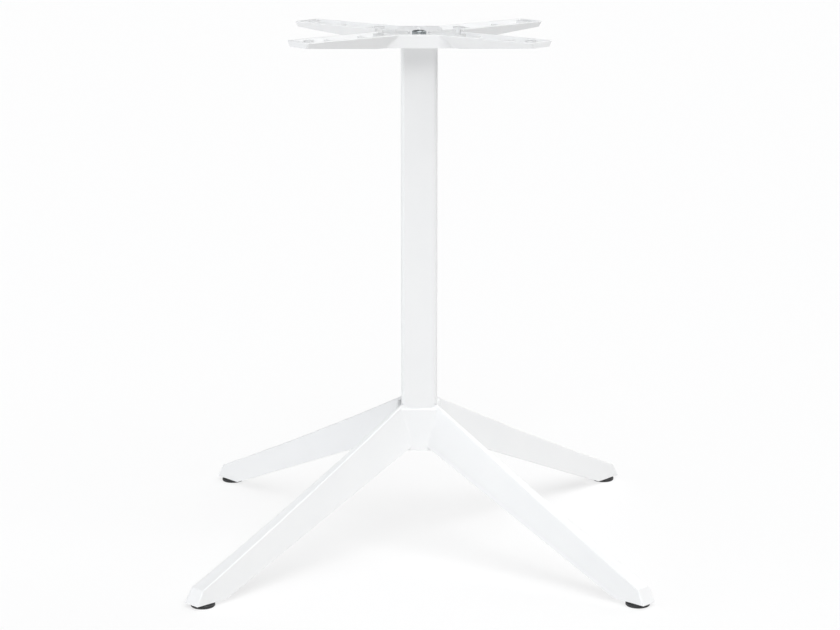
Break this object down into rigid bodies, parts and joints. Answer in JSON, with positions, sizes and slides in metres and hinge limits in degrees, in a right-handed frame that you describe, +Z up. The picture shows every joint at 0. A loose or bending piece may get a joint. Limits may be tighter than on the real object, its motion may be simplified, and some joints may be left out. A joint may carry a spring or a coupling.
{
  "type": "table base",
  "caption": "Table base: square column on splayed, tapering cast legs with levelling glides, and an X-shaped bracket on top for a tabletop.",
  "frame": {"origin": "on the floor under the column's axis: the centre of the bounding box's bottom face", "axes": "+Z up along the column; X and Y are parallel to the column's faces, the legs lie on the diagonals"},
  "size_m": [0.614, 0.614, 0.72],
  "materials": {
    "powder_coat": "satin powder coat",
    "zinc_steel": "zinc plated",
    "black_plastic": "moulded"
  },
  "bodies": {
    "base": {"leg_star": "powder_coat", "column_tube": "powder_coat", "top_bracket": "powder_coat", "tie_bolt": "zinc_steel", "top_washer": "zinc_steel", "bottom_washer": "zinc_steel", "bottom_nut": "zinc_steel"},
    "glide_front_left": {"glide_pad_front_left": "black_plastic", "glide_stud_front_left": "zinc_steel"},
    "glide_front_right": {"glide_pad_front_right": "black_plastic", "glide_stud_front_right": "zinc_steel"},
    "glide_back_left": {"glide_pad_back_left": "black_plastic", "glide_stud_back_left": "zinc_steel"},
    "glide_back_right": {"glide_pad_back_right": "black_plastic", "glide_stud_back_right": "zinc_steel"}
  },
  "joints": [
    {"name": "level_front_left", "type": "slide", "parent": "base", "child": "glide_front_left", "axis": [0, 0, -1], "range_m": [0, 0.008]},
    {"name": "level_front_right", "type": "slide", "parent": "base", "child": "glide_front_right", "axis": [0, 0, -1], "range_m": [0, 0.008]},
    {"name": "level_back_left", "type": "slide", "parent": "base", "child": "glide_back_left", "axis": [0, 0, -1], "range_m": [0, 0.008]},
    {"name": "level_back_right", "type": "slide", "parent": "base", "child": "glide_back_right", "axis": [0, 0, -1], "range_m": [0, 0.008]}
  ]
}
